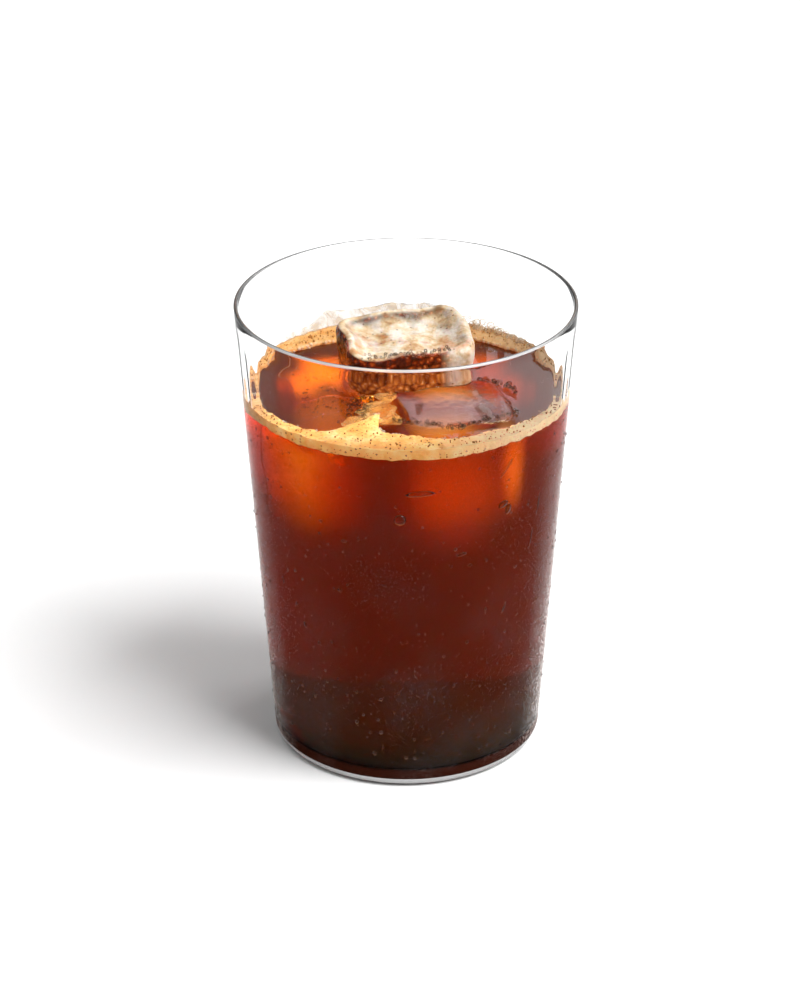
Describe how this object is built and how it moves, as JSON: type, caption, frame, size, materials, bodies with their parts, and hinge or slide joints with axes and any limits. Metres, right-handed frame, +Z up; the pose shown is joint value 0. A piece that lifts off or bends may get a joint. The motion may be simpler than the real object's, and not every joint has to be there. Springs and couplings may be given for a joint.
{
  "type": "espresso tonic",
  "caption": "Iced espresso and tonic in a clear ribbed tumbler, with a ring of crema and clear ice.",
  "frame": {"origin": "centre of the glass's foot, on the surface it stands on", "axes": "+Z up along the glass's axis, -Y towards the drinker, +X to the drinker's right"},
  "size_m": [0.08, 0.08, 0.112],
  "materials": {
    "clear_glass": "moulded, polished clear",
    "coffee": "clear dark amber liquid",
    "crema": "fine coffee foam",
    "ice": "wet, clear with bubbles"
  },
  "bodies": {
    "root": {"glass": "clear_glass", "drink": "coffee", "crema": "crema", "ice_top": "ice", "ice_front": "ice"}
  },
  "joints": []
}
